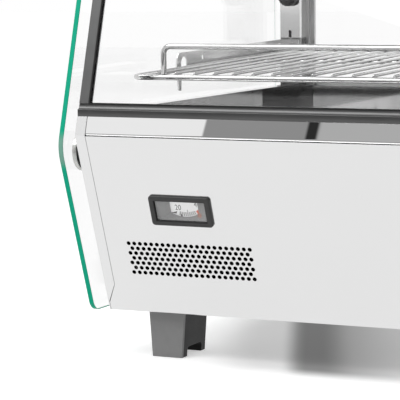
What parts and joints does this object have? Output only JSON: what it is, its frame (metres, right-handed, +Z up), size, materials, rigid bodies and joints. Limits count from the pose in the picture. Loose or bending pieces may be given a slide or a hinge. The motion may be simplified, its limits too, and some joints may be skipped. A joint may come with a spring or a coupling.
{
  "type": "heated display case",
  "caption": "Counter-top heated display case: stainless base with perforated sloping front, glazed cabinet with wire shelves, sliding rear doors and flat side glasses.",
  "frame": {"origin": "middle of the footprint, on the surface that the feet stand on", "axes": "+X to the right along the front, +Y from the sloping glazed front to the sliding doors, +Z up"},
  "size_m": [0.69, 0.5332, 0.6],
  "materials": {
    "stainless_panel": "satin stainless sheet",
    "stainless_polished": "polished stainless sheet",
    "chrome_wire": "bright chrome-plated wire",
    "black_aluminium": "satin black powder coat",
    "grey_aluminium": "natural anodised",
    "clear_glass": "clear tempered glass",
    "side_glass": "clear tempered glass with green edges",
    "lamp_glass": "frosted lamp tube",
    "clear_lens": "clear plastic lens",
    "black_rubber": "matte rubber",
    "standoff_metal": "satin turned metal",
    "black_plastic": "moulded black plastic",
    "grey_plastic": "moulded grey plastic",
    "foot_plastic": "moulded black plastic with drafted sides",
    "rocker_plastic": "gloss black plastic",
    "white_dial": "white printed dial",
    "dark_pointer": "dark grey lacquer",
    "copper_bulb": "bare copper",
    "zinc_bolt": "zinc plated",
    "heater_steel": "heat-tinted steel tube",
    "white_ceramic": "white ceramic"
  },
  "bodies": {
    "cabinet": {"bottom_plate": "stainless_panel", "bracket_lower_left": "stainless_polished", "bracket_lower_right": "stainless_polished", "brackets_upper": "stainless_polished", "cable_gland": "black_plastic", "deck_plate": "stainless_polished", "door_track_bottom": "grey_aluminium", "door_track_top": "grey_aluminium", "foot_bolts": "zinc_bolt", "front_band": "stainless_panel", "front_feet": "foot_plastic", "front_glass": "clear_glass", "front_glass_seal": "black_rubber", "front_header": "black_aluminium", "front_panel": "stainless_panel", "front_sill": "black_aluminium", "front_upright_left": "black_aluminium", "front_upright_right": "black_aluminium", "glass_standoffs": "standoff_metal", "heating_element": "heater_steel", "lamp_holders": "white_ceramic", "lamp_reflector": "stainless_polished", "lamp_tube": "lamp_glass", "post_clamp_screws": "black_plastic", "rear_feet": "foot_plastic", "rear_panel": "stainless_panel", "rear_upright_left": "grey_aluminium", "rear_upright_right": "grey_aluminium", "roof_canopy": "stainless_panel", "roof_liner": "stainless_panel", "shelf_post_left": "stainless_polished", "shelf_post_right": "stainless_polished", "side_glass_left": "side_glass", "side_glass_right": "side_glass", "side_panel_left": "stainless_panel", "side_panel_right": "stainless_panel", "standoff_washers": "black_rubber", "switch_housings": "black_plastic", "terminal_block": "white_ceramic", "thermometer_bezel": "black_plastic", "thermometer_bulb": "copper_bulb", "thermometer_case": "grey_plastic", "thermometer_dial": "white_dial", "thermometer_lens": "clear_lens", "thermostat_body": "black_plastic", "well_front_wall": "stainless_polished", "well_rear_wall": "stainless_polished", "well_side_walls": "stainless_polished"},
    "door_left": {"door_glass_left": "clear_glass", "door_grip_left": "black_plastic"},
    "door_right": {"door_glass_right": "clear_glass", "door_grip_right": "black_plastic"},
    "thermostat_dial": {"thermostat_knob": "black_plastic"},
    "power_switch": {"power_rocker": "rocker_plastic"},
    "lamp_switch": {"lamp_rocker": "rocker_plastic"},
    "pointer": {"thermometer_pointer": "dark_pointer"},
    "lower_shelf": {"shelf_lower": "chrome_wire", "shelf_lower_lip": "chrome_wire"},
    "upper_shelf": {"shelf_upper": "chrome_wire", "shelf_upper_lip": "chrome_wire"}
  },
  "joints": [
    {"name": "door_left_slide", "type": "slide", "parent": "cabinet", "child": "door_left", "axis": [1, 0, 0], "range_m": [0, 0.278]},
    {"name": "door_right_slide", "type": "slide", "parent": "cabinet", "child": "door_right", "axis": [1, 0, 0], "range_m": [-0.278, 0]},
    {"name": "thermostat_turn", "type": "hinge", "parent": "cabinet", "child": "thermostat_dial", "pos_m": [0.15, 0.25662, 0.13], "axis": [0, 1, 0], "range_deg": [0, 280]},
    {"name": "power_rock", "type": "hinge", "parent": "cabinet", "child": "power_switch", "pos_m": [0.07, 0.24862, 0.13], "axis": [1, 0, 0], "range_deg": [-7, 7]},
    {"name": "lamp_rock", "type": "hinge", "parent": "cabinet", "child": "lamp_switch", "pos_m": [0.03, 0.24862, 0.13], "axis": [1, 0, 0], "range_deg": [-7, 7]},
    {"name": "pointer_swing", "type": "hinge", "parent": "cabinet", "child": "pointer", "pos_m": [-0.2328, -0.23061, 0.15962], "axis": [0, -0.9367, -0.3502], "range_deg": [0, 130]},
    {"name": "lower_shelf_lift", "type": "slide", "parent": "cabinet", "child": "lower_shelf", "axis": [0, 0, 1], "range_m": [0, 0.04]},
    {"name": "upper_shelf_lift", "type": "slide", "parent": "cabinet", "child": "upper_shelf", "axis": [0, 0, 1], "range_m": [0, 0.04]}
  ]
}
